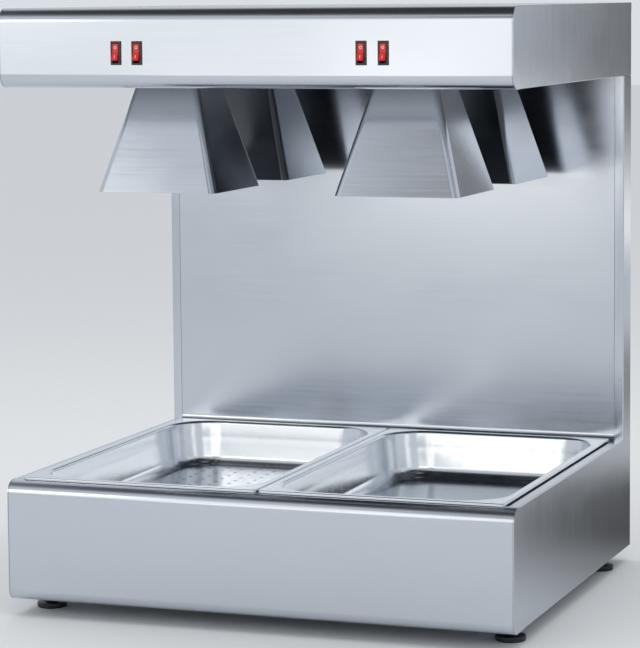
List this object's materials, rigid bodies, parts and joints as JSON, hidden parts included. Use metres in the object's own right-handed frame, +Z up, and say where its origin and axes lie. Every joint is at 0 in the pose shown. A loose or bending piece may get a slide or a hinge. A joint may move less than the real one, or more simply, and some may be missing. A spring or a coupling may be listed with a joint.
{
  "type": "countertop chip warmer",
  "caption": "Stainless countertop food warmer: a base with lift-out pans, a rear splash column and a canopy of heat lamps in folded square shades.",
  "frame": {"origin": "on the counter, under the middle of the whole object's bounding box", "axes": "+Z up, -Y towards the person served (the switches' side), +X to the right as seen from the front"},
  "size_m": [0.684, 0.6105, 0.791],
  "materials": {
    "panel_steel": "brushed stainless sheet, grain along the panels",
    "pan_steel": "pressed and polished stainless",
    "zinc_steel": "zinc plated",
    "lamp_glass": "pressed glass, silvered inside above a clear face",
    "porcelain": "glazed porcelain",
    "cap_brass": "rolled thread",
    "black_plastic": "fine moulded texture",
    "red_plastic": "glossy translucent red",
    "foot_plastic": "moulded, matt",
    "lead_sheath": "matt sheath"
  },
  "bodies": {
    "cabinet": {"base_front": "panel_steel", "side_panel_left": "panel_steel", "side_panel_right": "panel_steel", "floor_panel": "panel_steel", "base_rear_panel": "panel_steel", "back_panel": "panel_steel", "column_rear_cover": "panel_steel", "pan_rear_ledge": "panel_steel", "pan_centre_rail": "panel_steel", "pan_rail_left": "panel_steel", "pan_rail_right": "panel_steel", "canopy_shell": "panel_steel", "canopy_end_left": "panel_steel", "canopy_end_right": "panel_steel", "canopy_underside": "panel_steel", "canopy_rear_panel": "panel_steel", "lamp_rail_front": "zinc_steel", "lamp_rail_rear": "zinc_steel", "lamp_shade_front_left": "panel_steel", "lamp_shade_front_right": "panel_steel", "lamp_shade_rear_left": "panel_steel", "lamp_shade_rear_right": "panel_steel", "lamp_holder_front_left": "porcelain", "lamp_holder_front_right": "porcelain", "lamp_holder_rear_left": "porcelain", "lamp_holder_rear_right": "porcelain", "lamp_cap_front_left": "cap_brass", "lamp_cap_front_right": "cap_brass", "lamp_cap_rear_left": "cap_brass", "lamp_cap_rear_right": "cap_brass", "heat_lamp_front_left": "lamp_glass", "heat_lamp_front_right": "lamp_glass", "heat_lamp_rear_left": "lamp_glass", "heat_lamp_rear_right": "lamp_glass", "switch_body_left_1": "black_plastic", "switch_body_left_2": "black_plastic", "switch_body_right_1": "black_plastic", "switch_body_right_2": "black_plastic", "foot_bush_front_left": "zinc_steel", "foot_bush_front_right": "zinc_steel", "foot_bush_rear_left": "zinc_steel", "foot_bush_rear_right": "zinc_steel", "mains_inlet": "black_plastic", "terminal_block": "porcelain", "supply_lead": "lead_sheath", "cover_screw_lower_left": "zinc_steel", "cover_screw_lower_right": "zinc_steel", "cover_screw_upper_left": "zinc_steel", "cover_screw_upper_right": "zinc_steel"},
    "pan_left": {"pan_left": "pan_steel"},
    "pan_right": {"pan_right": "pan_steel"},
    "drainer": {"drainer_plate": "pan_steel"},
    "rocker_left_1": {"rocker_left_1": "red_plastic"},
    "rocker_left_2": {"rocker_left_2": "red_plastic"},
    "rocker_right_1": {"rocker_right_1": "red_plastic"},
    "rocker_right_2": {"rocker_right_2": "red_plastic"},
    "foot_front_left": {"foot_front_left": "foot_plastic"},
    "foot_front_right": {"foot_front_right": "foot_plastic"},
    "foot_rear_left": {"foot_rear_left": "foot_plastic"},
    "foot_rear_right": {"foot_rear_right": "foot_plastic"}
  },
  "joints": [
    {"name": "pan_left_lift", "type": "slide", "parent": "cabinet", "child": "pan_left", "axis": [0, 0, 1], "range_m": [0, 0.12]},
    {"name": "pan_right_lift", "type": "slide", "parent": "cabinet", "child": "pan_right", "axis": [0, 0, 1], "range_m": [0, 0.12]},
    {"name": "drainer_lift", "type": "slide", "parent": "pan_left", "child": "drainer", "axis": [0, 0, 1], "range_m": [0, 0.1]},
    {"name": "rocker_left_1_tip", "type": "hinge", "parent": "cabinet", "child": "rocker_left_1", "pos_m": [-0.1778, -0.29623, 0.734], "axis": [1, 0, 0], "range_deg": [0, 24]},
    {"name": "rocker_left_2_tip", "type": "hinge", "parent": "cabinet", "child": "rocker_left_2", "pos_m": [-0.1492, -0.29623, 0.734], "axis": [1, 0, 0], "range_deg": [0, 24]},
    {"name": "rocker_right_1_tip", "type": "hinge", "parent": "cabinet", "child": "rocker_right_1", "pos_m": [0.1492, -0.29623, 0.734], "axis": [1, 0, 0], "range_deg": [0, 24]},
    {"name": "rocker_right_2_tip", "type": "hinge", "parent": "cabinet", "child": "rocker_right_2", "pos_m": [0.1778, -0.29623, 0.734], "axis": [1, 0, 0], "range_deg": [0, 24]},
    {"name": "foot_front_left_screw", "type": "slide", "parent": "cabinet", "child": "foot_front_left", "axis": [0, 0, -1], "range_m": [0, 0.012]},
    {"name": "foot_front_right_screw", "type": "slide", "parent": "cabinet", "child": "foot_front_right", "axis": [0, 0, -1], "range_m": [0, 0.012]},
    {"name": "foot_rear_left_screw", "type": "slide", "parent": "cabinet", "child": "foot_rear_left", "axis": [0, 0, -1], "range_m": [0, 0.012]},
    {"name": "foot_rear_right_screw", "type": "slide", "parent": "cabinet", "child": "foot_rear_right", "axis": [0, 0, -1], "range_m": [0, 0.012]}
  ]
}
